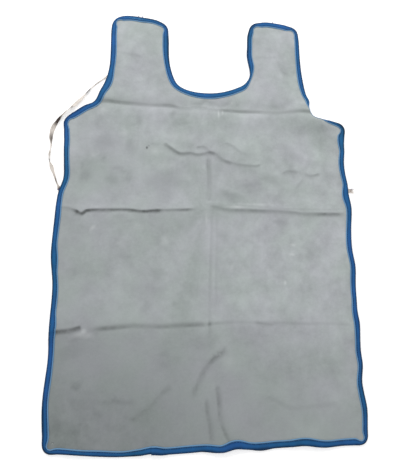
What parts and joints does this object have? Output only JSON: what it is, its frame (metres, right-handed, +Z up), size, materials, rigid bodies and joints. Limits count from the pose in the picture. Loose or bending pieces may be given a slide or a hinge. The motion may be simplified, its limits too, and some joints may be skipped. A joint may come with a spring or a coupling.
{
  "type": "leather welding apron",
  "caption": "Split-leather bib apron with shoulder tabs, scooped neck, folded tape binding sewn over its edge and loose cotton shoulder straps, laid out flat.",
  "frame": {"origin": "on the surface it lies on, under the middle of the bound panel (straps left out)", "axes": "+Z up from the surface, +Y from the hem to the shoulder tabs, +X across the apron to the right as seen from above with the tabs at the far end"},
  "size_m": [0.6533, 0.9231, 0.0208],
  "materials": {
    "split_leather": "matt suede",
    "binding_tape": "woven",
    "strap_cotton": "woven"
  },
  "bodies": {
    "root": {"leather_panel": "split_leather", "binding_hem_left": "binding_tape", "binding_hem_right": "binding_tape", "binding_side_left": "binding_tape", "binding_side_right": "binding_tape", "binding_armhole_left": "binding_tape", "binding_armhole_right": "binding_tape", "binding_tab_left": "binding_tape", "binding_tab_right": "binding_tape", "binding_neck": "binding_tape", "strap_left": "strap_cotton", "strap_right": "strap_cotton"}
  },
  "joints": []
}
